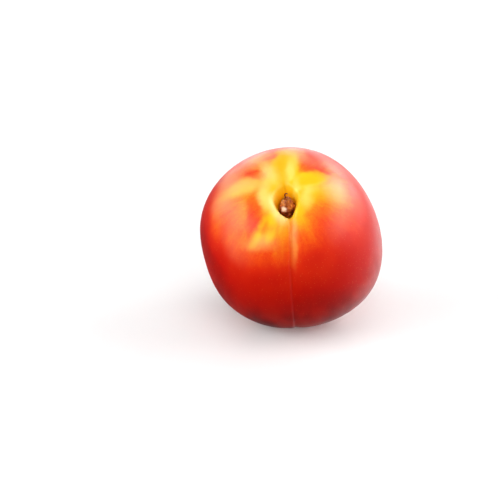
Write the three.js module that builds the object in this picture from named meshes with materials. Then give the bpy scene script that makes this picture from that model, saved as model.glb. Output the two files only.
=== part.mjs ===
// A ripe nectarine, the smooth-skinned peach, at rest with its stem end leaning forward.
// Two pieces: the fruit, one solid of skin and flesh, and the dry stub of stem in its hollow.
//
// Lengths are millimetres. Each piece is shaped in the fruit's own axes: Z runs up its core to
// the stem end, X across the two cheeks, and the suture, the seam that a peach has down one
// side, is on the -Y side. A place on the skin is a pair of angles in degrees: "polar" counts
// down from the stem end, and "azimuth" turns from the suture (0) towards +X.

import * as THREE from "three";
import { mergeVertices } from "three/addons/utils/BufferGeometryUtils.js";

const { degToRad } = THREE.MathUtils;

// Driving dimensions of the body.
const CHEEK_RADIUS = 35.2; // half the width across the cheeks
const SUTURE_RADIUS = 34.6; // half the depth from the suture to the back
const CORE_RADIUS = 33.6; // half the height along the core, before the hollow is pressed in

// How the fruit lies: it leans towards -Y by LEAN, and a little to one side by ROLL.
const LEAN = degToRad(35);
const ROLL = degToRad(-5);

// The hollow at the stem end is a wide shallow basin with a narrow funnel in it, which lies a
// little off the core. Each reaches a different distance on its four sides, and falls more or
// less steeply on the near side, the suture's, than on the far side. Seen along the core each is
// an ellipse where its power is 2, and closer to a diamond where it is less.
const BASIN = {
  depth: 4.4,
  x: 0,
  y: 0,
  left: 13.5,
  right: 13,
  near: 11,
  far: 17,
  steepNear: 2,
  steepFar: 2,
  powerNear: 2,
  powerFar: 2,
};
const FUNNEL = {
  depth: 8.6,
  x: -0.5,
  y: -2.4,
  left: 3.6,
  right: 3.6,
  near: 6.2,
  far: 5,
  steepNear: 5,
  steepFar: 1.9,
  powerNear: 1.8,
  powerFar: 1.6,
};
const RIM = { height: 0.35, at: 1.5, width: 0.35 }; // the raised edge of the funnel

// The notch where the suture runs over the edge of the funnel.
const NOTCH = { depth: 1.5, width: 1.7, x: 0.4, y: -8.8, reach: 2.3 };

// The suture: a crease that is steep on its left side and gentle on its right, in a shallow dip.
const CREASE = { depth: 0.9, left: 0.5, right: 1.9 };
const DIP = { depth: 0.9, width: 5.5 };
const SUTURE_START = 14; // polar angle where the crease leaves the hollow
const SUTURE_FADE = 60; // polar angle where it has lost about two thirds of its depth
const SUTURE_FAINT = 0.3; // the share of the depth that runs on to the tip
const SUTURE_END = 176; // polar angle where it ends beside the tip
const SUTURE_TURN = { stem: 3, side: -1.5, until: 52 }; // its azimuth at the stem, and from until down

// The blossom end has a small blunt point.
const TIP = { height: 1.0, width: 6.5 };

// Where the body is fuller or flatter than an egg: each swell fades with the angle from its middle.
const SWELLS = [
  { polar: 107, azimuth: 55, height: 1.8, sharpness: 8 }, // full lower right cheek
  { polar: 74, azimuth: 105, height: -1.6, sharpness: 5 }, // flatter right shoulder
  { polar: 58, azimuth: 172, height: 0.8, sharpness: 6 }, // full back shoulder
  { polar: 97, azimuth: -82, height: -1.7, sharpness: 12 }, // flat place on the left cheek
  { polar: 75, azimuth: -125, height: 0.4, sharpness: 6 }, // left shoulder
];

// Soft ridges (+) and flutes (-) that run out of the hollow, fading over the shoulders.
const FLUTES = [
  { azimuth: -150, width: 13, height: 0.4 },
  { azimuth: -172, width: 8, height: -0.35 },
  { azimuth: 168, width: 10, height: 0.4 },
  { azimuth: 128, width: 13, height: -0.6 },
  { azimuth: 98, width: 13, height: 0.35 },
  { azimuth: -122, width: 11, height: -0.4 },
  { azimuth: -78, width: 20, height: 0.4 },
  { azimuth: -29, width: 9, height: -0.45 },
  { azimuth: -11, width: 6, height: 0.25 },
];
const FLUTE_MIDDLE = 22; // polar angle where they stand highest
const FLUTE_REACH = 11; // how far they spread either side of it

// The flat that the ripe flesh settles on, and the soft edge around it.
const REST_DEPTH = 1.1;
const REST_EDGE = 0.15;

// The stub of stem, a knobbly cone that leans back from the suture. Its profile, from the middle
// of its broken top down to the middle of its foot, is radius and height above the foot.
const STUB = { x: -0.4, y: -3.1, lean: degToRad(-14) };
const STUB_PROFILE = [
  [0, 6.8],
  [0.5, 6.9],
  [0.9, 7.2],
  [1.4, 6.7],
  [1.9, 5.5],
  [2.25, 4.2],
  [2.3, 3.1],
  [1.95, 1.9],
  [1.4, 0.9],
  [0.8, 0.15],
  [0, 0],
];
const STUB_LOBES = [
  { count: 3, turn: 0.6, share: 0.06 },
  { count: 5, turn: 2, share: 0.03 },
];
const STUB_GAP = 0.8; // clearance from its foot to the flesh

// Mesh fineness.
const BODY_SEGMENTS = 100;
const BODY_RINGS = 62;
const STUB_SEGMENTS = 28;
const STUB_RINGS = 22;
const CROWD_SUTURE = 0.7; // how strongly the segments crowd towards the suture, 0 to 1
const CROWD_STEM = 0.7; // how strongly the rings crowd towards the stem end, 0 to 1

const bell = (distance) => Math.exp(-distance * distance);

function directionOf(polar, azimuth) {
  const across = Math.sin(polar);
  return new THREE.Vector3(
    across * Math.sin(azimuth),
    -across * Math.cos(azimuth),
    Math.cos(polar),
  );
}

// How far out a place beside the core lies in the basin or the funnel, 1 at its edge, and the
// share of the full depth that it has there.
function hollowAt(hollow, x, y) {
  const outX = (x - hollow.x) / (x < hollow.x ? hollow.left : hollow.right);
  const outY = (y - hollow.y) / (y < hollow.y ? hollow.near : hollow.far);
  const power = outY < 0 ? hollow.powerNear : hollow.powerFar;
  const reach = (Math.abs(outX) ** power + Math.abs(outY) ** power) ** (1 / power);
  const farness = ((1 + outY / Math.max(reach, 1e-6)) / 2) ** 2;
  const steepness = hollow.steepNear + (hollow.steepFar - hollow.steepNear) * farness;
  return { reach, share: Math.exp(-(reach ** steepness)) };
}

// How far the skin is pressed in at a place beside the core, on the stem side.
function hollowDepth(x, y) {
  const basin = hollowAt(BASIN, x, y);
  const funnel = hollowAt(FUNNEL, x, y);
  const rim = bell((funnel.reach - RIM.at) / RIM.width);
  const notch = bell((x - NOTCH.x) / NOTCH.width) * bell((y - NOTCH.y) / NOTCH.reach);
  return BASIN.depth * basin.share + FUNNEL.depth * funnel.share + NOTCH.depth * notch - RIM.height * rim;
}

// How strongly the suture shows at a polar angle, from 0 to 1.
function sutureStrength(polar) {
  const begun = THREE.MathUtils.smoothstep(polar, degToRad(SUTURE_START - 8), degToRad(SUTURE_START + 4));
  const faded = bell(polar / degToRad(SUTURE_FADE));
  const ended = THREE.MathUtils.smoothstep(polar, degToRad(SUTURE_END - 20), degToRad(SUTURE_END));
  return begun * (SUTURE_FAINT + (1 - SUTURE_FAINT) * faded) * (1 - ended);
}

// The azimuth of the suture at a polar angle.
function sutureTurn(polar) {
  const turned = THREE.MathUtils.smoothstep(polar, degToRad(SUTURE_START), degToRad(SUTURE_TURN.until));
  return degToRad(THREE.MathUtils.lerp(SUTURE_TURN.stem, SUTURE_TURN.side, turned));
}

function fluteHeight(polar, azimuth) {
  const along = bell((polar - degToRad(FLUTE_MIDDLE)) / degToRad(FLUTE_REACH));
  let height = 0;
  for (const flute of FLUTES) {
    const turn = azimuth - degToRad(flute.azimuth);
    const nearest = Math.atan2(Math.sin(turn), Math.cos(turn));
    height += flute.height * bell(nearest / degToRad(flute.width));
  }
  return along * height;
}

// The point of the skin at a direction, in the fruit's own axes.
function skinPoint(polar, azimuth) {
  const direction = directionOf(polar, azimuth);
  const point = direction.clone().multiply(new THREE.Vector3(CHEEK_RADIUS, SUTURE_RADIUS, CORE_RADIUS));
  let swelling = fluteHeight(polar, azimuth);
  for (const swell of SWELLS) {
    const middle = directionOf(degToRad(swell.polar), degToRad(swell.azimuth));
    swelling += swell.height * Math.exp(swell.sharpness * (direction.dot(middle) - 1));
  }
  const { x, y } = point;
  if (direction.z > 0) {
    point.z -= hollowDepth(x, y);
  } else {
    point.z -= TIP.height * bell(Math.hypot(x, y) / TIP.width);
  }
  if (direction.y < 0) {
    const offset = x + y * Math.tan(sutureTurn(polar));
    const side = offset < 0 ? CREASE.left : CREASE.right;
    const cut = CREASE.depth * bell(offset / side) + DIP.depth * bell(offset / DIP.width);
    swelling -= sutureStrength(polar) * cut;
  }
  return point.addScaledVector(direction, swelling);
}

// A unit sphere whose rings crowd towards the stem end and whose segments crowd towards the
// suture, given as angles: calls place(polar, azimuth) for each vertex and moves it there.
function shapeSphere(segments, rings, crowdStem, crowdSuture, place) {
  const sphere = new THREE.SphereGeometry(1, segments, rings);
  sphere.deleteAttribute("normal");
  sphere.deleteAttribute("uv");
  const geometry = mergeVertices(sphere, 1e-5);
  const position = geometry.getAttribute("position");
  const vertex = new THREE.Vector3();
  for (let i = 0; i < position.count; i++) {
    vertex.fromBufferAttribute(position, i); // SphereGeometry's pole is on +Y
    const even = Math.acos(THREE.MathUtils.clamp(vertex.y, -1, 1));
    const turn = Math.atan2(vertex.x, vertex.z);
    const polar = even - crowdStem * Math.sin(even);
    const azimuth = turn - crowdSuture * Math.sin(turn);
    position.setXYZ(i, ...place(polar, azimuth).toArray());
  }
  return geometry;
}

// Presses the lowest skin flat: under the resting plane everything lies on it, and just above
// it the skin curves up softly.
function settle(geometry, pose) {
  const toWorld = pose.matrixWorld;
  const toFruit = toWorld.clone().invert();
  const position = geometry.getAttribute("position");
  const points = [];
  for (let i = 0; i < position.count; i++) {
    points.push(new THREE.Vector3().fromBufferAttribute(position, i).applyMatrix4(toWorld));
  }
  const plane = Math.min(...points.map((point) => point.z)) + REST_DEPTH;
  points.forEach((point, i) => {
    const height = point.z - plane;
    if (height < -REST_EDGE) point.z = plane;
    else if (height < REST_EDGE) point.z = plane + (height + REST_EDGE) ** 2 / (4 * REST_EDGE);
    position.setXYZ(i, ...point.applyMatrix4(toFruit).toArray());
  });
}

function makeFruit(pose) {
  const place = (polar, azimuth) => {
    const follow = (1 + Math.cos(azimuth)) / 2; // the segments beside the suture turn with it
    return skinPoint(polar, azimuth + sutureTurn(polar) * follow);
  };
  const geometry = shapeSphere(BODY_SEGMENTS, BODY_RINGS, CROWD_STEM, CROWD_SUTURE, place);
  settle(geometry, pose);
  geometry.computeVertexNormals();
  const material = new THREE.MeshStandardMaterial({ color: 0xd8401c, roughness: 0.38, metalness: 0 });
  const mesh = new THREE.Mesh(geometry, material);
  mesh.name = "fruit";
  return mesh;
}

function makeStub() {
  const knots = STUB_PROFILE.map(([radius, height]) => new THREE.Vector2(radius, height));
  const profile = new THREE.SplineCurve(knots);
  const place = (polar, azimuth) => {
    const { x: radius, y: height } = profile.getPointAt(polar / Math.PI);
    let lumps = 1;
    for (const lobe of STUB_LOBES) lumps += lobe.share * Math.cos(lobe.count * azimuth + lobe.turn);
    const outward = radius * lumps;
    return new THREE.Vector3(outward * Math.sin(azimuth), -outward * Math.cos(azimuth), height);
  };
  const geometry = shapeSphere(STUB_SEGMENTS, STUB_RINGS, 0, 0, place);
  geometry.computeVertexNormals();
  const material = new THREE.MeshStandardMaterial({ color: 0x8a5230, roughness: 0.6, metalness: 0 });
  const mesh = new THREE.Mesh(geometry, material);
  mesh.name = "stem_stub";
  const across = new THREE.Vector2(STUB.x / CHEEK_RADIUS, -STUB.y / SUTURE_RADIUS);
  const floor = skinPoint(Math.asin(across.length()), Math.atan2(across.x, across.y));
  mesh.position.set(STUB.x, STUB.y, floor.z + STUB_GAP);
  mesh.rotation.x = STUB.lean;
  return mesh;
}

// Leans the fruit, then stands it on Z = 0 with the middle of its outline over the origin.
const pose = new THREE.Group();
pose.rotation.set(LEAN, ROLL, 0, "YXZ");
pose.updateMatrixWorld(true);
pose.add(makeFruit(pose), makeStub());

const nectarine = new THREE.Group();
nectarine.add(pose);
const outline = new THREE.Box3().setFromObject(nectarine, true);
const middle = outline.getCenter(new THREE.Vector3());
pose.position.set(-middle.x, -middle.y, -outline.min.z);

export default nectarine;
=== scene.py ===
"""A ripe nectarine, the smooth-skinned peach, on a pale floor in soft studio light.

The fruit is shaped in its own axes, in millimetres: Z runs up its core to the stem end, X across
the two cheeks, and the suture, the seam down one side, is on the -Y side. A place on the skin is
a pair of angles: "polar" counts down from the stem end, and "azimuth" turns from the suture (0)
towards +X. Everything is turned into the pose that the CAD part lies in, and into metres, as its
mesh is made.
"""

import math

import bpy
import numpy as np
from mathutils import Matrix, Vector, noise


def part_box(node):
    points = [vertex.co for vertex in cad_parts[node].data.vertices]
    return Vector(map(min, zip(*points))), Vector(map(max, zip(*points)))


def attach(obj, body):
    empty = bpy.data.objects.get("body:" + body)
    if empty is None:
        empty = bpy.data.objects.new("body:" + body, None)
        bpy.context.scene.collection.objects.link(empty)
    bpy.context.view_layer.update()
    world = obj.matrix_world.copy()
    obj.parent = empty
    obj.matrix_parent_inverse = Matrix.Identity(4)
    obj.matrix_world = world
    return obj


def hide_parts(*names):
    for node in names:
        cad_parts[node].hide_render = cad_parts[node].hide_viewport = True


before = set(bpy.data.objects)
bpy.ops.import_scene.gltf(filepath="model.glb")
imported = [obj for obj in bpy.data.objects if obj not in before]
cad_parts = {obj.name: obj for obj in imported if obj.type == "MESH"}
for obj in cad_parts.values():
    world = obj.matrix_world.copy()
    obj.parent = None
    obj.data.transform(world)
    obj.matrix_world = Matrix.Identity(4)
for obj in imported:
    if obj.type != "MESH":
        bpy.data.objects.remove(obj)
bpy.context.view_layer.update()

MM = 0.001

# Driving dimensions of the body, as in the CAD part.
CHEEK_RADIUS = 35.2  # half the width across the cheeks
SUTURE_RADIUS = 34.6  # half the depth from the suture to the back
CORE_RADIUS = 33.6  # half the height along the core, before the hollow is pressed in

# How the fruit lies: it leans towards -Y by LEAN, and a little to one side by ROLL.
LEAN = math.radians(35)
ROLL = math.radians(-5)

# The hollow at the stem end is a wide shallow basin with a narrow funnel in it, which lies a
# little off the core. Each reaches a different distance on its four sides, and falls more or less
# steeply at the near side, the suture's, than at the far side. Seen along the core each is an
# ellipse where its power is 2, and closer to a diamond where it is less.
BASIN = dict(
    depth=4.4, x=0.0, y=0.0, left=13.5, right=13.0, near=11.0, far=17.0, steep=(2, 2), power=(2, 2)
)
FUNNEL = dict(
    depth=8.6, x=-0.5, y=-2.4, left=3.6, right=3.6, near=6.2, far=5.0, steep=(5, 1.9), power=(1.8, 1.6)
)
RIM = dict(height=0.35, at=1.5, width=0.35)  # the raised edge of the funnel

# The notch where the suture runs over the edge of the funnel.
NOTCH = dict(depth=1.5, width=1.7, x=0.4, y=-8.8, reach=2.3)

# The suture: a crease that is steep on its left side and gentle on its right, in a shallow dip.
CREASE = dict(depth=0.9, left=0.5, right=1.9)
DIP = dict(depth=0.9, width=5.5)
SUTURE_START = 14  # polar angle where the crease leaves the hollow
SUTURE_BEGINS = (8, 4)  # it deepens from this far before its start to this far after it
SUTURE_FADE = 60  # polar angle where it has lost about two thirds of its depth
SUTURE_FAINT = 0.3  # the share of the depth that runs on to the tip
SUTURE_END = 176  # polar angle where it ends beside the tip
SUTURE_CLOSES = 20  # how far before its end it begins to close
SUTURE_TURN = dict(stem=3.0, side=-1.5, until=52)  # its azimuth at the stem, and from until down

# The blossom end has a small blunt point, and on it the dry scar of the flower.
TIP = dict(height=1.0, width=6.5)
SCAR = dict(height=0.5, width=0.9)

# Where the body is fuller or flatter than an egg: polar, azimuth, height and sharpness.
SWELLS = [
    (107, 55, 1.8, 8),  # full lower right cheek
    (74, 105, -1.6, 5),  # flatter right shoulder
    (58, 172, 0.8, 6),  # full back shoulder
    (97, -82, -1.7, 12),  # flat place on the left cheek
    (75, -125, 0.4, 6),  # left shoulder
]

# Soft ridges (+) and flutes (-) that run out of the hollow: azimuth, width and height.
FLUTES = [
    (-150, 13, 0.4),
    (-172, 8, -0.35),
    (168, 10, 0.4),
    (128, 13, -0.6),
    (98, 13, 0.35),
    (-122, 11, -0.4),
    (-78, 20, 0.4),
    (-29, 9, -0.45),
    (-11, 6, 0.25),
]
FLUTE_MIDDLE = 22  # polar angle where they stand highest
FLUTE_REACH = 11  # how far they spread either side of it

# The flat that the ripe flesh settles on, and the soft edge around it.
REST_DEPTH = 1.1
REST_EDGE = 0.15


def bell(distance):
    """1 at no distance, about a third at a distance of 1, and next to nothing beyond 2."""
    return np.exp(-(distance**2))


def smoothstep(value, low, high):
    share = np.clip((value - low) / (high - low), 0, 1)
    return share * share * (3 - 2 * share)


def direction_of(polar, azimuth):
    """The direction from the middle of the fruit that these angles give, in its own axes."""
    across = np.sin(polar)
    return np.stack([across * np.sin(azimuth), -across * np.cos(azimuth), np.cos(polar)], -1)


def hollow_reach(hollow, x, y):
    """How far out a place beside the core lies in the basin or the funnel, 1 at its edge, and how
    steep the hollow falls there."""
    x = (x - hollow["x"]) / np.where(x < hollow["x"], hollow["left"], hollow["right"])
    y = (y - hollow["y"]) / np.where(y < hollow["y"], hollow["near"], hollow["far"])
    power = np.where(y < 0, *hollow["power"])
    reach = (np.abs(x) ** power + np.abs(y) ** power) ** (1 / power)
    near, far = hollow["steep"]
    farness = ((1 + y / np.maximum(reach, 1e-6)) / 2) ** 2
    return reach, near + (far - near) * farness


def hollow_share(hollow, x, y):
    """The share of the depth that the basin or the funnel has at a place beside the core."""
    reach, steep = hollow_reach(hollow, x, y)
    return np.exp(-(reach**steep))


def rim_share(x, y):
    """How much of its height the funnel's rim has at a place beside the core."""
    return bell((hollow_reach(FUNNEL, x, y)[0] - RIM["at"]) / RIM["width"])


def suture_strength(polar):
    """How much of its depth the suture has at a polar angle."""
    start = math.radians(SUTURE_START)
    before, after = [math.radians(angle) for angle in SUTURE_BEGINS]
    begun = smoothstep(polar, start - before, start + after)
    faded = bell(polar / math.radians(SUTURE_FADE))
    ended = smoothstep(polar, math.radians(SUTURE_END - SUTURE_CLOSES), math.radians(SUTURE_END))
    return begun * (SUTURE_FAINT + (1 - SUTURE_FAINT) * faded) * (1 - ended)


def suture_turn(polar):
    """The azimuth of the suture at a polar angle."""
    side, stem = SUTURE_TURN["side"], SUTURE_TURN["stem"]
    turned = smoothstep(polar, math.radians(SUTURE_START), math.radians(SUTURE_TURN["until"]))
    return np.radians(stem + (side - stem) * turned)


def flute_height(polar, azimuth):
    """How far the ridges and flutes lift or lower the skin, in millimetres."""
    height = np.zeros(polar.shape)
    for middle, width, rise in FLUTES:
        turn = azimuth - math.radians(middle)
        nearest = np.arctan2(np.sin(turn), np.cos(turn))
        height += rise * bell(nearest / math.radians(width))
    return height * bell((polar - math.radians(FLUTE_MIDDLE)) / math.radians(FLUTE_REACH))


def skin_points(polar, azimuth):
    """The skin at these directions, in the fruit's own axes and in millimetres."""
    direction = direction_of(polar, azimuth)
    points = direction * np.array([CHEEK_RADIUS, SUTURE_RADIUS, CORE_RADIUS])
    swelling = flute_height(polar, azimuth)
    for middle_polar, middle_azimuth, height, sharpness in SWELLS:
        middle = direction_of(math.radians(middle_polar), math.radians(middle_azimuth))
        swelling += height * np.exp(sharpness * (direction @ middle - 1))
    x, y = points[..., 0], points[..., 1]
    notch = bell((x - NOTCH["x"]) / NOTCH["width"]) * bell((y - NOTCH["y"]) / NOTCH["reach"])
    hollow = BASIN["depth"] * hollow_share(BASIN, x, y) + FUNNEL["depth"] * hollow_share(FUNNEL, x, y)
    hollow += NOTCH["depth"] * notch - RIM["height"] * rim_share(x, y)
    tip = TIP["height"] * bell(np.hypot(x, y) / TIP["width"])
    tip += SCAR["height"] * bell(np.hypot(x, y) / SCAR["width"])
    offset = x + y * np.tan(suture_turn(polar))
    side = np.where(offset < 0, CREASE["left"], CREASE["right"])
    cut = CREASE["depth"] * bell(offset / side) + DIP["depth"] * bell(offset / DIP["width"])
    swelling -= np.where(direction[..., 1] < 0, suture_strength(polar) * cut, 0)
    points = points + direction * swelling[..., None]
    points[..., 2] -= np.where(direction[..., 2] > 0, hollow, tip)
    return points


POSE = Matrix.Rotation(ROLL, 3, "Y") @ Matrix.Rotation(LEAN, 3, "X")


def posed(points):
    """Points turned from the fruit's own axes into the pose that it lies in."""
    return points @ np.array(POSE).T


def settled(points):
    """Presses the lowest skin flat, with a soft edge, as the weight of the fruit does."""
    plane = points[:, 2].min() + REST_DEPTH
    height = points[:, 2] - plane
    edge = plane + (height + REST_EDGE) ** 2 / (4 * REST_EDGE)
    above = np.where(height < REST_EDGE, edge, points[:, 2])
    points[:, 2] = np.where(height < -REST_EDGE, plane, above)
    return points


# Mesh fineness of the skin.
SKIN_SEGMENTS = 400
SKIN_RINGS = 236
CROWD_SUTURE = 0.6  # how strongly the segments crowd towards the suture, 0 to 1
CROWD_STEM = 0.7  # how strongly the rings crowd towards the stem end, 0 to 1


def sphere_grid(segments, rings, crowd_stem, crowd_suture):
    """Angles of a sphere's vertices, its two poles last, and its faces."""
    even = np.linspace(0, math.pi, rings + 1)[1:-1]
    turn = np.linspace(-math.pi, math.pi, segments, endpoint=False)
    polar = even - crowd_stem * np.sin(even)
    azimuth = turn - crowd_suture * np.sin(turn)
    polar, azimuth = [grid.ravel() for grid in np.meshgrid(polar, azimuth, indexing="ij")]
    stem, tip = len(polar), len(polar) + 1
    polar = np.append(polar, [0, math.pi])
    azimuth = np.append(azimuth, [0, 0])
    azimuth += suture_turn(polar) * (1 + np.cos(azimuth)) / 2
    faces = []
    for ring in range(rings - 2):
        for segment in range(segments):
            here = ring * segments + segment
            beside = ring * segments + (segment + 1) % segments
            faces.append((here, here + segments, beside + segments, beside))
    last = (rings - 2) * segments
    for segment in range(segments):
        beside = (segment + 1) % segments
        faces.append((segment, beside, stem))
        faces.append((last + beside, last + segment, tip))
    return polar, azimuth, faces


def add_mesh(name, points, faces, material):
    """A smooth-shaded mesh object in the scene, from points in metres."""
    mesh = bpy.data.meshes.new(name)
    mesh.from_pydata(points.tolist(), [], faces)
    mesh.polygons.foreach_set("use_smooth", [True] * len(faces))
    mesh.materials.append(material)
    mesh.update()
    piece = bpy.data.objects.new(name, mesh)
    bpy.context.scene.collection.objects.link(piece)
    return piece


def store(piece, name, vectors):
    """Keeps one vector a vertex on the mesh, where the material reads it by name."""
    attribute = piece.data.attributes.new(name, "FLOAT_VECTOR", "POINT")
    attribute.data.foreach_set("vector", vectors.ravel())


class Graph:
    """The nodes of a material or a world, added one call at a time, each call giving its output."""

    def __init__(self, owner):
        self.owner = owner
        self.owner.use_nodes = True
        self.tree = self.owner.node_tree
        self.tree.nodes.clear()

    def add(self, kind, output=0, inputs=(), **settings):
        """Adds a node with these inputs, each a number, a colour or another node's output."""
        node = self.tree.nodes.new(kind)
        for setting, value in settings.items():
            setattr(node, setting, value)
        for socket, value in dict(inputs).items():
            if isinstance(value, bpy.types.NodeSocket):
                self.tree.links.new(value, node.inputs[socket])
            else:
                node.inputs[socket].default_value = value
        return node.outputs[output] if node.outputs else None

    def math(self, operation, a, b=0.0, c=0.0):
        return self.add("ShaderNodeMath", inputs={0: a, 1: b, 2: c}, operation=operation)

    def vector(self, operation, a, b=(0, 0, 0)):
        output = "Value" if operation in ("DOT_PRODUCT", "LENGTH", "DISTANCE") else "Vector"
        return self.add("ShaderNodeVectorMath", output, {0: a, 1: b}, operation=operation)

    def noise(self, place, scale, detail=2.0, roughness=0.5, output="Fac"):
        inputs = {"Vector": place, "Scale": scale, "Detail": detail, "Roughness": roughness}
        return self.add("ShaderNodeTexNoise", output, inputs)

    def ease(self, value, low, high, start=0.0, end=1.0):
        """start where value is low, end where it is high, and a smooth change between them."""
        inputs = {"Value": value, 1: low, 2: high, 3: start, 4: end}
        return self.add("ShaderNodeMapRange", 0, inputs, interpolation_type="SMOOTHSTEP")

    def mix(self, share, a, b):
        """The colour a, with this share of the colour b in it."""
        return self.add("ShaderNodeMix", 2, {0: share, 6: a, 7: b}, data_type="RGBA")

    def ramp(self, value, stops):
        """The colour that a value has between stops, each a value and its colour."""
        node = self.tree.nodes.new("ShaderNodeValToRGB")
        elements = node.color_ramp.elements
        while len(elements) < len(stops):
            elements.new(0.5)
        for element, (place, shade) in zip(elements, stops):
            element.position = place
            element.color = shade
        self.tree.links.new(value, node.inputs[0])
        return node.outputs[0]

    def stored(self, name):
        """A vector that store() keeps on the mesh."""
        return self.add("ShaderNodeAttribute", "Vector", attribute_name=name)

    def bump(self, height, strength, distance):
        inputs = {"Strength": strength, "Distance": distance, "Height": height}
        return self.add("ShaderNodeBump", "Normal", inputs)

    def surface(self, **inputs):
        """Ends the material in a Principled shader. An input's name has _ for each space."""
        inputs = {name.replace("_", " "): value for name, value in inputs.items()}
        shader = self.add("ShaderNodeBsdfPrincipled", inputs=inputs)
        self.add("ShaderNodeOutputMaterial", inputs={"Surface": shader})
        return self.owner


def tint(code):
    """A colour given as it looks on a screen, such as 0xFAD428."""
    channels = [(code >> shift & 255) / 255 for shift in (16, 8, 0)]
    linear = [c / 12.92 if c < 0.04045 else ((c + 0.055) / 1.055) ** 2.4 for c in channels]
    return (*linear, 1.0)


# The skin's colour follows one measure, the blush, from 0, bare yellow ground, to 1, darkest red.
BLUSH_COLOURS = [
    (0.00, tint(0xF2D350)),
    (0.10, tint(0xF0C620)),
    (0.20, tint(0xEEB810)),
    (0.30, tint(0xEE9C10)),
    (0.42, tint(0xEF7612)),
    (0.56, tint(0xEA480A)),
    (0.70, tint(0xDC2808)),
    (0.84, tint(0xCC1406)),
    (1.00, tint(0x98080A)),
]

# How the blush deepens from the stem end to the tip: polar angle and blush.
BLUSH_BY_POLAR = [
    (0, 0.22),
    (8, 0.18),
    (12, 0.14),
    (16, 0.22),
    (20, 0.35),
    (26, 0.43),
    (34, 0.47),
    (42, 0.53),
    (50, 0.64),
    (58, 0.74),
    (68, 0.82),
    (90, 0.88),
    (130, 0.90),
    (160, 0.80),
    (180, 0.70),
]

# Where the blush is held back or runs ahead. Each mark is a soft-edged oval in a chart of the
# skin: x and y are degrees from the stem end, x towards +X and y towards the suture. Then come
# half its length and half its width, the turn of its length from +x towards +y, the change in
# blush, and how soft its edge is, from 0 to 1.
BLUSH_MARKS = [
    (1, -27, 16.5, 8, 90, -0.28, 0.40),  # yellow band up the back
    (9, -38, 9, 5, 60, -0.08, 0.60),  # where the band widens over the shoulder
    (-10, -28, 12, 6, 60, -0.10, 0.60),  # paler left side of the band
    (17, -11, 11, 6, -25, -0.20, 0.35),  # yellow patch on the right
    (29, 2, 9.5, 8, 0, -0.14, 0.80),  # pale orange beyond it
    (-31, -10, 16, 7, -9, -0.20, 0.60),  # ray on the left
    (-9, -33, 5.5, 2, -31, 0.20, 0.70),  # orange dash left of the band
    (-17.2, 24, 12, 3.5, 131, -0.20, 0.65),  # near patch, its left arm
    (-11.3, 24.8, 10, 3.2, 102, -0.18, 0.60),  # its right arm
    (-17.5, 31, 7.5, 4.2, -12, -0.16, 0.80),  # its foot, between the two
    (-14.2, 23.5, 4.5, 2, 118, 0.12, 0.80),  # and the orange spot in its middle
    (-32, 33, 12, 7, 45, -0.08, 0.80),  # orange low on the left
    (5, 21, 7, 6, 70, -0.10, 0.80),  # golden foot of the suture
    (-4, 27, 7, 4, 90, -0.08, 0.80),  # golden to its left
    (11, 25, 10, 5, 62, -0.09, 0.80),  # orange to its right
    (-51, 9, 13, 6, 100, -0.15, 0.80),  # orange on the left cheek
    (-21.0, 12, 14.5, 4.6, 99, 0.18, 0.60),  # red stripe on the left
    (-17.5, -17.5, 8, 3.2, 36, 0.16, 0.50),  # red dash at the back left
    (19, -20, 9, 4, -18, 0.02, 0.50),  # orange wedge at the back right
    (24.5, -17.3, 5, 1.7, 25, 0.14, 0.60),  # its red end
    (20, -35, 15, 7, -60, 0.14, 0.80),  # red behind it
    (26, 30, 20, 13, 40, 0.13, 0.80),  # red that reaches up on the right
    (13, 44, 9, 7, 0, 0.11, 0.80),  # and beside the suture
    (-14, 54, 14, 6, 0, 0.07, 0.90),  # red below the near patch
    # Partly painted shade: the blush is deeper low on the left.
    (-64, 28, 30, 10, 76, 0.11, 0.90),  # deep red low on the left
    (37, -36, 14, 6, 30, 0.10, 0.90),  # deep red behind the right shoulder
    (30, -108, 34, 20, 20, -0.31, 0.90),  # orange showing through low on the back
    (-75, -92, 22, 16, 60, -0.17, 0.90),  # and at the back left
]

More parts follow.
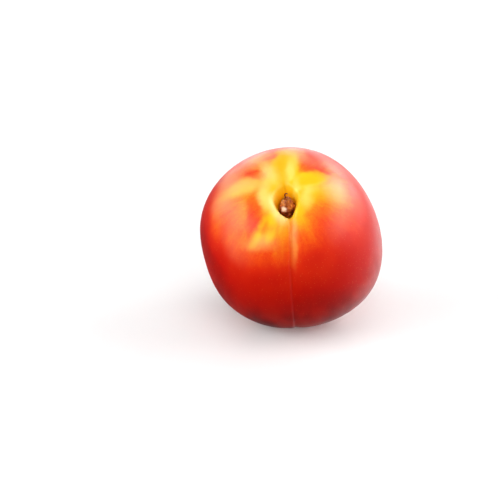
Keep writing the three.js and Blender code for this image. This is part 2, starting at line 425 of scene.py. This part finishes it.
# Where the skin takes another colour: first place and shape as above, with the share of the new
# colour in place of the change in blush, and then the colour. Some of them are painted light: the
# pale pink, peach and salmon ones on the cheeks and shoulders are partly waxy bloom and partly
# painted sheen, the pale cream ones by the funnel's lips and on the left ridges are painted
# highlights, the golden strip on the suture's right flank is a painted highlight, and the golden
# strip down the flute at the back is painted shade.
PATCHES_AND_PAINTED_LIGHT = [
    # Pale peach on the left cheek: partly waxy bloom, partly painted sheen.
    ((-42, -8, 13, 9, 100, 0.40, 0.8), tint(0xEFAE7C)),
    # Pale peach on the left shoulder, towards the back: partly waxy bloom, partly painted sheen.
    ((-36, -24, 12, 8, 60, 0.35, 0.8), tint(0xF4BE98)),
    # Pale pink on the right shoulder: painted sheen.
    ((33, -31, 11, 7, 45, 0.25, 0.9), tint(0xF6C4BC)),
    # Salmon low on the left front: partly waxy bloom, partly painted sheen.
    ((-35, 34, 9, 7, 45, 0.09, 0.9), tint(0xF4A880)),
    # Pale peach at the back left: partly waxy bloom, partly painted sheen.
    ((-16, -33, 10, 8, -20, 0.45, 0.8), tint(0xF4BC88)),
    # Pale peach on the right cheek: partly waxy bloom, partly painted sheen.
    ((31, -3, 9, 7, 90, 0.50, 0.8), tint(0xF6C090)),
    # Pale salmon on the right front: partly waxy bloom, partly painted sheen.
    ((34, 16, 14, 6, 110, 0.15, 0.9), tint(0xF2A48A)),
    ((-19, 33, 9, 4, 8, 0.30, 0.9), tint(0xF8C878)),
    # Salmon on the left cheek: partly waxy bloom, partly painted sheen.
    ((-38, 20, 10, 7, 100, 0.15, 0.9), tint(0xF4A880)),
    # Pale cream along the funnel's right lip: painted highlight.
    ((12, 3, 8, 3.2, 95, 0.40, 0.8), tint(0xF8E27C)),
    # Pale cream on the funnel's far right lip: painted highlight.
    ((6.5, -5, 4, 2, 110, 0.50, 0.8), tint(0xFAEA84)),
    # Pale cream along the funnel's left lip: painted highlight.
    ((-13.5, 0, 10, 3.6, 88, 0.45, 0.8), tint(0xF8E08C)),
    # Golden strip on the suture's right flank: painted highlight.
    ((2.5, 32, 13.5, 1.7, 93, 0.32, 0.9), tint(0xF4BC54)),
    ((14.4, -9.8, 8.2, 4.7, -22, 0.95, 0.45), tint(0xF4C200)),
    # Pale cream below the red dash at the back left: painted highlight.
    ((-25, -10, 9, 6, -10, 0.40, 0.80), tint(0xF4D488)),
    # Pale cream on the ridge at the back left: painted highlight.
    ((-10, -17, 8, 4, 80, 0.35, 0.80), tint(0xF8E0A0)),
    # Golden down the flute in the yellow band at the back: painted shade.
    ((-1.8, -17, 20, 3.4, 87, 0.80, 0.70), tint(0xF0B008)),
    # Pale peach on the back shoulder: partly waxy bloom, partly painted sheen.
    ((8, -36, 12, 5, 60, 0.35, 0.80), tint(0xF4C090)),
]

# The stub of stem, a knobbly cone that leans back from the suture, with one stiff fibre that
# curls from its top. The profile is radius and height above its foot, and the fibre is a path of
# places beside the foot's middle and above it, each with the fibre's radius.
STUB = dict(x=-0.1, y=-3.0, lean=math.radians(-15), sunk=0.2)
STUB_PROFILE = [
    (0, 0),
    (0.8, 0.05),
    (1.8, 0.7),
    (2.8, 1.8),
    (3.2, 2.8),
    (3.1, 4.0),
    (2.6, 5.4),
    (1.9, 6.8),
    (1.0, 7.7),
]
STUB_LOBES = [(3, 0.6, 0.2, 0.08), (5, 2, 0, 0.05)]  # count, turn, twist and share of the radius
STUB_RIBS = 0.10  # how far its ribs stand out, as a share of the radius
STUB_LUMPS = 0.12  # how far its lumps stand out, as a share of the radius
STUB_DISH = 0.45  # how deep its broken top is dished
STUB_SPLINTERS = 0.35  # how far the top is splintered up and down
STUB_SPLINTERED = 0.6  # how far down from the edge of the top the splinters reach
STUB_GLINT = (-1.4, -2.4, 4.7)  # a painted highlight: a pale glint painted into the bark's colour
FIBRE = [
    (-0.2, 0.0, 7.4, 0.45),
    (-0.45, 0.1, 8.5, 0.30),
    (-0.6, 0.2, 9.3, 0.24),
    (-0.3, 0.2, 9.9, 0.24),
    (0.2, 0.1, 10.0, 0.20),
    (0.5, 0.0, 9.7, 0.08),
]

# Mesh fineness of the stub and its fibre.
STUB_SEGMENTS = 120
STUB_STEP = 0.07  # distance between rings along the profile
STUB_TOP_RINGS = 15
STUB_TOP_MIDDLE = 0.06  # radius of the last ring on the top
SMOOTHING = 4  # how many points on either side each one is averaged with
FIBRE_SEGMENTS = 12
FIBRE_RINGS = 40

# Bark as lit, high on the stub, and in painted shade, low in the hollow, each from its cracks to its
# crests.
LIT_BARK = [
    (0.30, tint(0x6E2E10)),
    (0.42, tint(0x9C4C1C)),
    (0.56, tint(0xC0702C)),
    (0.72, tint(0xE4A050)),
]
SHADED_BARK = [
    (0.34, tint(0x380A04)),
    (0.48, tint(0x6A2408)),
    (0.60, tint(0x9C5020)),
    (0.74, tint(0xC88850)),
]


def marked(graph, chart, total, marks):
    """total, raised or lowered by every mark."""
    for x, y, length, width, turn, change, edge in marks:
        frame_of_mark = {
            "Vector": chart,
            "Location": (x, y, 0),
            "Rotation": (0, 0, math.radians(turn)),
            "Scale": (length, width, 1),
        }
        inside = graph.add("ShaderNodeMapping", 0, frame_of_mark, vector_type="TEXTURE")
        reach = graph.vector("LENGTH", inside)
        total = graph.math("ADD", total, graph.ease(reach, 1 - edge, 1 + edge, change, 0))
    return total


def warped(graph, vector, by, scale, amount):
    """The vector, moved about by up to half of amount in smooth noise."""
    wander = graph.noise(by, scale, output="Color")
    wander = graph.vector("SUBTRACT", wander, (0.5, 0.5, 0.5))
    wander = graph.vector("MULTIPLY", wander, (amount, amount, 0))
    return graph.vector("ADD", vector, wander)


def skin_material():
    graph = Graph(bpy.data.materials.new("nectarine_skin"))
    place = graph.stored("place")
    chart = graph.stored("chart")
    form = graph.stored("form")
    pit_russet_and_shade, rim, ridge = graph.add("ShaderNodeSeparateXYZ", 0, {"Vector": form}).node.outputs

    # The blush deepens down the fruit, with its marks, and in soft clouds towards the tip.
    chart = warped(graph, chart, place, 5, 5)
    chart = warped(graph, chart, place, 14, 1.2)
    polar = graph.vector("LENGTH", chart)
    steps = [(angle / 180, (share, share, share, 1)) for angle, share in BLUSH_BY_POLAR]
    redness = graph.ramp(graph.math("DIVIDE", polar, 180), steps)
    redness = marked(graph, chart, redness, BLUSH_MARKS)
    cloud = graph.noise(graph.vector("MULTIPLY", place, (1, 1, 0.5)), 3, 4)
    cloud = graph.ease(cloud, 0.3, 0.7, -0.5, 0.5)
    redness = graph.math("MULTIPLY_ADD", cloud, graph.ease(polar, 65, 115, 0.04, 0.26), redness)

    # Where ground and blush meet, the blush breaks up into streaks and fine dots.
    past_ground = graph.ease(redness, 0.1, 0.45)
    short_of_red = graph.ease(redness, 0.55, 0.8, 1, 0.2)
    meeting = graph.math("MULTIPLY", past_ground, short_of_red)
    around = graph.vector("NORMALIZE", chart)
    for turns, along, amount in ((9, 1 / 14, 0.17), (30, 1 / 10, 0.07)):
        meridian = graph.vector("MULTIPLY", around, (turns, turns, 0))
        down = graph.math("MULTIPLY", polar, along)
        down = graph.add("ShaderNodeCombineXYZ", inputs={"Z": down})
        streak = graph.noise(graph.vector("ADD", meridian, down), 1, detail=3)
        streak = graph.math("MULTIPLY", graph.math("SUBTRACT", streak, 0.5), amount)
        redness = graph.math("MULTIPLY_ADD", streak, meeting, redness)
    for scale, amount in ((34, 0.10), (110, 0.12)):
        dots = graph.math("SUBTRACT", graph.noise(place, scale), 0.5)
        dots = graph.math("MULTIPLY", dots, amount)
        redness = graph.math("MULTIPLY_ADD", dots, meeting, redness)

    # The ridges that run out of the hollow are painted yellower and the flutes between them redder:
    # painted light on the ridges and painted shade in the flutes.
    raised = graph.ease(ridge, -0.4, 0.4, -0.5, 0.5)
    redness = graph.math("MULTIPLY_ADD", raised, -0.12, redness)
    colour = graph.ramp(redness, BLUSH_COLOURS)

    for mark, patch_colour in PATCHES_AND_PAINTED_LIGHT:
        colour = graph.mix(marked(graph, chart, 0.0, [mark]), colour, patch_colour)
    # Painted highlight: where the skin is yellow, the crests of the ridges are lightened towards
    # cream.
    yellow = graph.ease(redness, 0.15, 0.45, 1, 0)
    ridge_highlight = graph.math("MULTIPLY", yellow, graph.ease(ridge, 0, 0.4, 0, 0.15))
    colour = graph.mix(ridge_highlight, colour, tint(0xF2E09A))

    # The rim is lighter, a painted highlight; the funnel goes from amber down to brown, partly russet
    # and partly painted shade deep in it.
    colour = graph.mix(graph.math("MULTIPLY", rim, 0.62), colour, tint(0xF4E49C))
    deep = graph.math("MULTIPLY", pit_russet_and_shade, graph.ease(graph.noise(place, 20, 3), 0.3, 0.7, 0.8, 1.2))
    colour = graph.mix(graph.ease(deep, 0, 0.5), colour, tint(0xFFA204))
    colour = graph.mix(graph.ease(deep, 0.55, 0.95), colour, tint(0xCC6008))
    colour = graph.mix(graph.ease(deep, 0.9, 1.05), colour, tint(0x5A2810))

    # Pale pores show in the blush.
    cells = graph.add("ShaderNodeTexVoronoi", "Distance", {"Vector": place, "Scale": 30.0})
    pores = graph.ease(cells, 0.08, 0.16, 0.26, 0)
    pores = graph.math("MULTIPLY", pores, graph.ease(redness, 0.4, 0.7))
    colour = graph.mix(pores, colour, tint(0xF09050))

    # The scar at the blossom end is dark, in a ring of dry skin.
    tip = graph.vector("DISTANCE", place, (0, 0, -1))
    colour = graph.mix(graph.ease(tip, 0.03, 0.12, 0.6, 0), colour, tint(0xD89858))
    colour = graph.mix(graph.ease(tip, 0.015, 0.035), tint(0x4A2810), colour)

    rough = graph.ease(graph.noise(place, 6, 3), 0.35, 0.65, 0.38, 0.46)
    peel = graph.noise(place, 80, 2)
    peel = graph.math("MULTIPLY_ADD", pores, -0.8, peel)
    return graph.surface(
        Base_Color=colour,
        Roughness=rough,
        Normal=graph.bump(peel, strength=0.35, distance=0.05 * MM),
        Specular_IOR_Level=0.2,
        Subsurface_Weight=0.3,
        Subsurface_Radius=(1.0, 0.4, 0.15),
        Subsurface_Scale=0.003,
    )


def stem_material():
    graph = Graph(bpy.data.materials.new("dry_stem"))
    place = graph.stored("place")
    height = graph.add("ShaderNodeSeparateXYZ", "Z", {"Vector": place})
    grain = graph.vector("MULTIPLY", place, (1.0, 1.0, 0.4))
    fibre = graph.noise(grain, 1.0, detail=4, roughness=0.55)
    upper = graph.ramp(fibre, LIT_BARK)
    shaded_bark = graph.ramp(fibre, SHADED_BARK)
    # Painted shade: low on the stub the bark takes the darker ramp, and high up the lit one.
    level = graph.math("MULTIPLY_ADD", graph.noise(place, 0.6), 2.5, height)
    colour = graph.mix(graph.ease(level, 4.9, 6.4), shaded_bark, upper)
    # Painted highlight: a pale glint on the bark.
    from_glint = graph.vector("DISTANCE", place, STUB_GLINT)
    colour = graph.mix(graph.ease(from_glint, 0.5, 1.5, 1, 0), colour, tint(0xFFE8D0))
    colour = graph.mix(graph.ease(height, 7.7, 8.3), colour, tint(0x5A2008))
    rough = graph.ease(fibre, 0.3, 0.7, 0.25, 0.5)
    bumps = graph.noise(grain, 3, detail=5, roughness=0.65)
    return graph.surface(
        Base_Color=colour,
        Roughness=rough,
        Normal=graph.bump(bumps, strength=0.4, distance=0.15 * MM),
        Specular_IOR_Level=0.6,
    )


def floor_material():
    """Pale and matt, with a glow away from the fruit, where the lamps don't reach."""
    graph = Graph(bpy.data.materials.new("pale_floor"))
    away = graph.vector("LENGTH", graph.add("ShaderNodeTexCoord", "Object"))
    return graph.surface(
        Base_Color=(0.9, 0.9, 0.9, 1),
        Roughness=0.7,
        Emission_Color=(1, 1, 1, 1),
        Emission_Strength=graph.ease(away, 0.1, 0.8, 0.06, 0.9),
    )


def make_skin():
    """Makes the fruit's skin, with its outline where the CAD fruit's is, and gives its centre."""
    polar, azimuth, faces = sphere_grid(SKIN_SEGMENTS, SKIN_RINGS, CROWD_STEM, CROWD_SUTURE)
    points = settled(posed(skin_points(polar, azimuth))) * MM
    low, high = [np.array(corner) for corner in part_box("fruit")]
    shift = (low + high - points.min(0) - points.max(0)) / 2
    shift[2] = low[2] - points[:, 2].min()
    skin = add_mesh("fruit_skin", points + shift, faces, skin_material())
    place = direction_of(polar, azimuth)
    x, y = place[:, 0] * CHEEK_RADIUS, place[:, 1] * SUTURE_RADIUS
    upper = place[:, 2] > 0
    ridge = flute_height(polar, azimuth)
    # The painted shade in the funnel is lighter on its right and far walls, where light falls, and the
    # painted highlight on its rim lies at the near left.
    right_wall = 0.4 * smoothstep(x, -1.5, 2.5)
    far_wall = 0.3 * smoothstep(y, -1, 3)
    pit_russet_and_shade = upper * hollow_share(FUNNEL, x, y) * (1 - right_wall) * (1 - far_wall)
    near_left = (1 - smoothstep(y, -4, 3)) * (1 - smoothstep(x, -3, 1))
    rim_highlight = upper * rim_share(x, y) * near_left
    store(skin, "place", place)
    store(skin, "form", np.stack([pit_russet_and_shade, rim_highlight, ridge], -1))
    degrees = np.degrees(polar)
    flat = np.zeros(len(polar))
    store(skin, "chart", np.stack([degrees * np.sin(azimuth), degrees * np.cos(azimuth), flat], -1))
    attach(skin, "root")
    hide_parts("fruit")
    return Vector(shift)


def resampled(profile, step):
    """Points a step apart along a smooth curve through the profile."""
    knots = np.array(profile, float)
    along = np.concatenate([[0], np.cumsum(np.hypot(*np.diff(knots, axis=0).T))])
    places = np.linspace(0, along[-1], int(along[-1] / step) + 1)
    line = np.stack([np.interp(places, along, knots[:, i]) for i in (0, 1)], -1)
    spread = np.ones(2 * SMOOTHING + 1) / (2 * SMOOTHING + 1)
    for _ in range(2):
        padded = np.pad(line, ((SMOOTHING, SMOOTHING), (0, 0)), mode="edge")
        line = np.stack([np.convolve(padded[:, i], spread, "valid") for i in (0, 1)], -1)
    line[0] = knots[0]
    return line


def ring_faces(start, rings, segments):
    """The quads between rings of points, ring after ring from start."""
    faces = []
    for ring in range(rings - 1):
        for segment in range(segments):
            here = start + ring * segments + segment
            beside = start + ring * segments + (segment + 1) % segments
            faces.append((here, beside, beside + segments, here + segments))
    return faces


def cone_faces(ring, segments, tip, outward):
    """The triangles from a ring to one point."""
    faces = []
    for segment in range(segments):
        here, beside = ring + segment, ring + (segment + 1) % segments
        faces.append((here, beside, tip) if outward else (beside, here, tip))
    return faces


def stub_points():
    """Rings up the stub's side and over its broken top, then the middle of its foot and top."""
    side = resampled(STUB_PROFILE, STUB_STEP)
    edge, top = side[-1]
    rings = np.linspace(edge, STUB_TOP_MIDDLE, STUB_TOP_RINGS + 1)[1:]
    dish = top - STUB_DISH * (1 - (rings / edge) ** 2)
    profile = np.concatenate([side[1:], np.stack([rings, dish], -1)])
    points = []
    for radius, height in profile:
        for angle in np.linspace(0, 2 * math.pi, STUB_SEGMENTS, endpoint=False):
            around = Vector((math.cos(angle), math.sin(angle), 0))
            lobes = 0
            for count, turn, twist, share in STUB_LOBES:
                lobes += share * math.cos(count * angle + turn + twist * height)
            ribs = noise.noise(Vector((around.x * 5, around.y * 5, height * 0.35)))
            lumps = noise.fractal(Vector((around.x, around.y, height * 0.8)) * 1.7, 0.9, 2.1, 4)
            out = around * radius * (1 + lobes + STUB_RIBS * ribs + STUB_LUMPS * lumps)
            splinter = noise.fractal(Vector((out.x, out.y, 3)) * 2.6, 0.8, 2.2, 4)
            lift = STUB_SPLINTERS * splinter if height > top - STUB_SPLINTERED else 0
            points.append((out.x, out.y, height + lift))
    points += [(0, 0, 0), (0, 0, profile[-1, 1])]
    return points, len(profile)


def fibre_points():
    """Rings along the curled fibre, then the middle of its foot and of its tip."""
    knots = np.array(FIBRE)
    fine = np.linspace(0, len(knots) - 1, FIBRE_RINGS)
    path = np.stack([np.interp(fine, range(len(knots)), knots[:, i]) for i in range(4)], -1)
    points = []
    for here, ahead in zip(path, np.append(path[1:], [2 * path[-1] - path[-2]], 0)):
        along = Vector(ahead[:3] - here[:3]).to_track_quat("Z", "X").to_matrix()
        for angle in np.linspace(0, 2 * math.pi, FIBRE_SEGMENTS, endpoint=False):
            out = along @ Vector((math.cos(angle), math.sin(angle), 0)) * here[3]
            points.append(tuple(here[:3] + np.array(out)))
    points += [tuple(path[0, :3]), tuple(path[-1, :3])]
    return points, len(path)


def make_stub(centre):
    """Makes the stub, its foot sunk a little into the floor of the hollow."""
    points, rings = stub_points()
    faces = ring_faces(0, rings, STUB_SEGMENTS)
    foot = rings * STUB_SEGMENTS
    faces += cone_faces(0, STUB_SEGMENTS, foot, outward=False)
    faces += cone_faces(foot - STUB_SEGMENTS, STUB_SEGMENTS, foot + 1, outward=True)
    fibre, rings = fibre_points()
    start = len(points)
    faces += ring_faces(start, rings, FIBRE_SEGMENTS)
    foot = start + rings * FIBRE_SEGMENTS
    faces += cone_faces(start, FIBRE_SEGMENTS, foot, outward=False)
    faces += cone_faces(foot - FIBRE_SEGMENTS, FIBRE_SEGMENTS, foot + 1, outward=True)
    points = np.array(points + fibre)

    across = [STUB["x"] / CHEEK_RADIUS, -STUB["y"] / SUTURE_RADIUS]
    floor = skin_points(np.arcsin(np.hypot(*across)), np.arctan2(*across))[2]
    foot = np.array([STUB["x"], STUB["y"], floor - STUB["sunk"]])
    leaned = points @ np.array(Matrix.Rotation(STUB["lean"], 3, "X")).T + foot
    stub = add_mesh("stem_stub_bark", posed(leaned) * MM + np.array(centre), faces, stem_material())
    store(stub, "place", points)
    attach(stub, "root")
    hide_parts("stem_stub")


# The camera looks along +Y and down, a little past the fruit.
CAMERA_DOWN = math.radians(22)
CAMERA_DISTANCE = 0.530
CAMERA_LENS = 100
OFF_AXIS = Vector((0.01542, 0.00439))  # how far right of and above its axis the fruit's centre is

# Soft lights, each with its bearing, height, distance, size and power. The bearing is 0 at the
# camera's side and 90 at +X. The lamps light everything but don't show in the skin's sheen, and
# the cards only show there.
LAMPS = [
    ("lamp_right", 98, 28, 1.0, (0.9, 0.9), 5.6),
    ("lamp_top", 0, 75, 1.0, (0.9, 0.9), 3.0),
    ("lamp_left", -78, 16, 1.0, (0.8, 0.8), 9.0),
    ("lamp_front", 12, 22, 1.0, (0.8, 0.8), 6.6),
]
CARDS = [
    ("card_right", 133, 34, 0.9, (0.6, 0.75), 12),
    ("card_side", 90, 29, 0.9, (0.9, 0.7), 8.2),
    ("card_left", -76, 37, 0.9, (1.1, 0.5), 11.5),
    ("card_back", -175, 14, 1.2, (0.8, 0.6), 6),
]
FLOOR_HALF = 4.0  # half the floor's width, in metres
FLOOR_BELOW = 0.05 * MM  # a hair under the fruit's flat, so that the two faces don't coincide


def make_camera(centre):
    """A camera at CAMERA_DISTANCE in front of the fruit's centre, which looks straight ahead."""
    data = bpy.data.cameras.new("camera")
    data.lens = CAMERA_LENS
    camera = bpy.data.objects.new("camera", data)
    camera.rotation_euler = (math.radians(90) - CAMERA_DOWN, 0, 0)
    turned = camera.rotation_euler.to_matrix()
    camera.location = centre - turned @ Vector((OFF_AXIS.x, OFF_AXIS.y, -CAMERA_DISTANCE))
    bpy.context.scene.collection.objects.link(camera)
    bpy.context.scene.camera = camera


def make_softbox(centre, name, bearing, height, distance, size, power):
    """A soft rectangular light aimed at the fruit."""
    data = bpy.data.lights.new(name, "AREA")
    data.shape = "RECTANGLE"
    data.size, data.size_y = size
    data.energy = power
    light = bpy.data.objects.new(name, data)
    towards = Vector(direction_of(math.radians(90 - height), math.radians(bearing)))
    light.location = centre + towards * distance
    light.rotation_euler = towards.to_track_quat("Z", "Y").to_euler()
    bpy.context.scene.collection.objects.link(light)
    return light


def make_world():
    """Even light from all round, and white where the camera sees it. The floor is hidden from the
    fruit, so from below its level the fruit gets this light too, there bright to the right and
    dark elsewhere."""
    graph = Graph(bpy.data.worlds.new("studio"))
    direction = graph.add("ShaderNodeTexCoord", "Generated")
    height = graph.add("ShaderNodeSeparateXYZ", "Z", {"Vector": direction})
    rightness = graph.vector("DOT_PRODUCT", direction, (0.8, 0.6, 0))
    low = graph.ease(rightness, 0.35, 1.0, graph.ease(rightness, -0.8, 0.3, 0.05, 0.25), 3.2)
    strength = graph.ease(height, -0.2, 0.1, low, 0.28)
    seen = graph.add("ShaderNodeLightPath", "Is Camera Ray")
    strength = graph.ease(seen, 0, 1, strength, 1.3)
    light = graph.add("ShaderNodeBackground", 0, {"Strength": strength})
    graph.add("ShaderNodeOutputWorld", inputs={"Surface": light})
    bpy.context.scene.world = graph.owner


def make_studio(centre):
    bpy.context.scene.view_settings.view_transform = "Standard"
    make_world()
    for lamp in LAMPS:
        light = make_softbox(centre, *lamp)
        light.visible_glossy = False
        light.data.cycles.use_multiple_importance_sampling = False
    for card in CARDS:
        light = make_softbox(centre, *card)
        light.visible_diffuse = False


def make_floor():
    half = FLOOR_HALF
    corners = [(-half, -half), (half, -half), (half, half), (-half, half)]
    points = np.array([(x, y, -FLOOR_BELOW) for x, y in corners])
    floor = add_mesh("floor", points, [(0, 1, 2, 3)], floor_material())
    floor.visible_glossy = False
    floor.visible_diffuse = False


centre = make_skin()
make_stub(centre)
make_camera(centre)
make_studio(centre)
make_floor()
